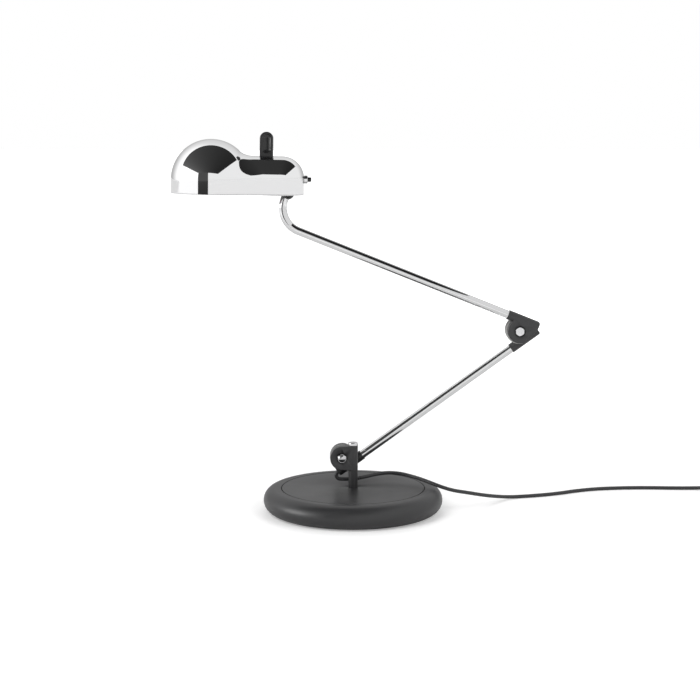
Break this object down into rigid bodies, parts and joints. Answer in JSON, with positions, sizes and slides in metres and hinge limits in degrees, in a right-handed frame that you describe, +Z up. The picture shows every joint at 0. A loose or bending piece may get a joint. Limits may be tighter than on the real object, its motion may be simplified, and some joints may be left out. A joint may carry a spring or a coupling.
{
  "type": "desk lamp",
  "caption": "Adjustable desk lamp with a round weighted base, two jointed tubular arms, and a bright domed shade that turns on a ball joint, with a black grip and push switch.",
  "frame": {"origin": "centre of the round base on the table", "axes": "+Z up from the table, +X to the right as seen from the front (the side that the elbow points to), +Y away from the viewer"},
  "size_m": [0.8517, 0.3598, 0.509],
  "materials": {
    "base_paint": "satin",
    "joint_paint": "satin",
    "ball_paint": "gloss",
    "bright_chrome": "polished",
    "shade_chrome": "polished",
    "dark_post": "satin",
    "ballast_iron": "rough",
    "rubber_pad": "matte",
    "steel_screws": "satin",
    "steel_bolt": "satin",
    "bracket_steel": "satin",
    "bush_plastic": "satin",
    "washer_plastic": "satin",
    "socket_plastic": "satin",
    "cover_plastic": "satin",
    "grip_plastic": "satin",
    "button_plastic": "gloss",
    "switch_plastic": "satin",
    "holder_plastic": "satin",
    "block_plastic": "satin",
    "cap_metal": "satin",
    "bulb_glass": "frosted",
    "wire_rubber": "satin",
    "cord_black": "satin",
    "tie_plastic": "satin",
    "plug_plastic": "satin",
    "pin_brass": "polished"
  },
  "bodies": {
    "base": {"base_pad": "rubber_pad", "base_ballast": "ballast_iron", "base_rim": "base_paint", "base_top_plate": "base_paint", "base_screws": "steel_screws", "post": "dark_post", "post_washer": "steel_screws", "post_nut": "steel_screws", "post_cap": "bright_chrome", "mains_cord": "cord_black", "cord_coil": "cord_black", "coil_tie": "tie_plastic", "plug_relief": "plug_plastic", "plug_body": "plug_plastic", "plug_pins": "pin_brass"},
    "swivel": {"swivel_bush": "bush_plastic", "post_knuckle": "joint_paint", "lower_friction_washer": "washer_plastic", "lower_bolt": "steel_bolt", "lower_spring_washer": "steel_screws", "lower_nut": "steel_screws", "cord_lead": "cord_black"},
    "lower_arm": {"lower_arm_foot_knuckle": "joint_paint", "lower_arm_tube": "bright_chrome", "lower_arm_elbow_knuckle": "joint_paint", "lower_arm_pins": "steel_screws", "cord_grommet": "bush_plastic", "lower_arm_wire": "cord_black"},
    "upper_arm": {"upper_arm_elbow_knuckle": "joint_paint", "elbow_bolt": "steel_bolt", "elbow_nut": "steel_screws", "elbow_spring_washer": "steel_screws", "elbow_friction_washer": "washer_plastic", "upper_arm_tube": "bright_chrome", "upper_arm_pin": "steel_screws", "upper_arm_wire": "cord_black"},
    "ball": {"ball_stud": "ball_paint"},
    "liner": {"ball_liner": "washer_plastic"},
    "head": {"ball_socket": "socket_plastic", "socket_ring": "socket_plastic", "head_bracket": "bracket_steel", "bracket_screws": "steel_screws", "shade": "shade_chrome", "rear_cover": "cover_plastic", "cover_screws": "steel_screws", "grip_handle": "grip_plastic", "grip_screw": "steel_screws", "lampholder": "holder_plastic", "bulb_cap": "cap_metal", "bulb_glass": "bulb_glass", "terminal_block": "block_plastic", "head_wires": "wire_rubber", "switch_body": "switch_plastic", "switch_collar": "bright_chrome", "switch_spring": "steel_screws"},
    "button": {"switch_button": "button_plastic"}
  },
  "joints": [
    {"name": "base_swivel", "type": "hinge", "parent": "base", "child": "swivel", "pos_m": [0, 0, 0.073], "axis": [0, 0, 1], "range_deg": [-170, 170]},
    {"name": "lower_arm_tilt", "type": "hinge", "parent": "swivel", "child": "lower_arm", "pos_m": [-0.0148, 0, 0.073], "axis": [0, 1, 0], "range_deg": [-40, 28], "deforming": ["cord_lead"]},
    {"name": "elbow", "type": "hinge", "parent": "lower_arm", "child": "upper_arm", "pos_m": [0.22236, 0, 0.24531], "axis": [0, 1, 0], "range_deg": [-35, 80]},
    {"name": "head_pan", "type": "hinge", "parent": "upper_arm", "child": "ball", "pos_m": [-0.08667, 0, 0.43008], "axis": [0.3706, 0, 0.9288], "range_deg": [-110, 110]},
    {"name": "head_tilt", "type": "hinge", "parent": "ball", "child": "liner", "pos_m": [-0.08667, 0, 0.43008], "axis": [0, -1, 0], "range_deg": [-40, 8]},
    {"name": "head_roll", "type": "hinge", "parent": "liner", "child": "head", "pos_m": [-0.08667, 0, 0.43008], "axis": [0.9998, 0, -0.0175], "range_deg": [-18, 18]},
    {"name": "switch_press", "type": "slide", "parent": "head", "child": "button", "axis": [-0.9998, 0, 0.0175], "range_m": [0, 0.0025], "stiffness_N_per_m": 500, "springref_m": -0.001, "deforming": ["switch_spring"]}
  ]
}
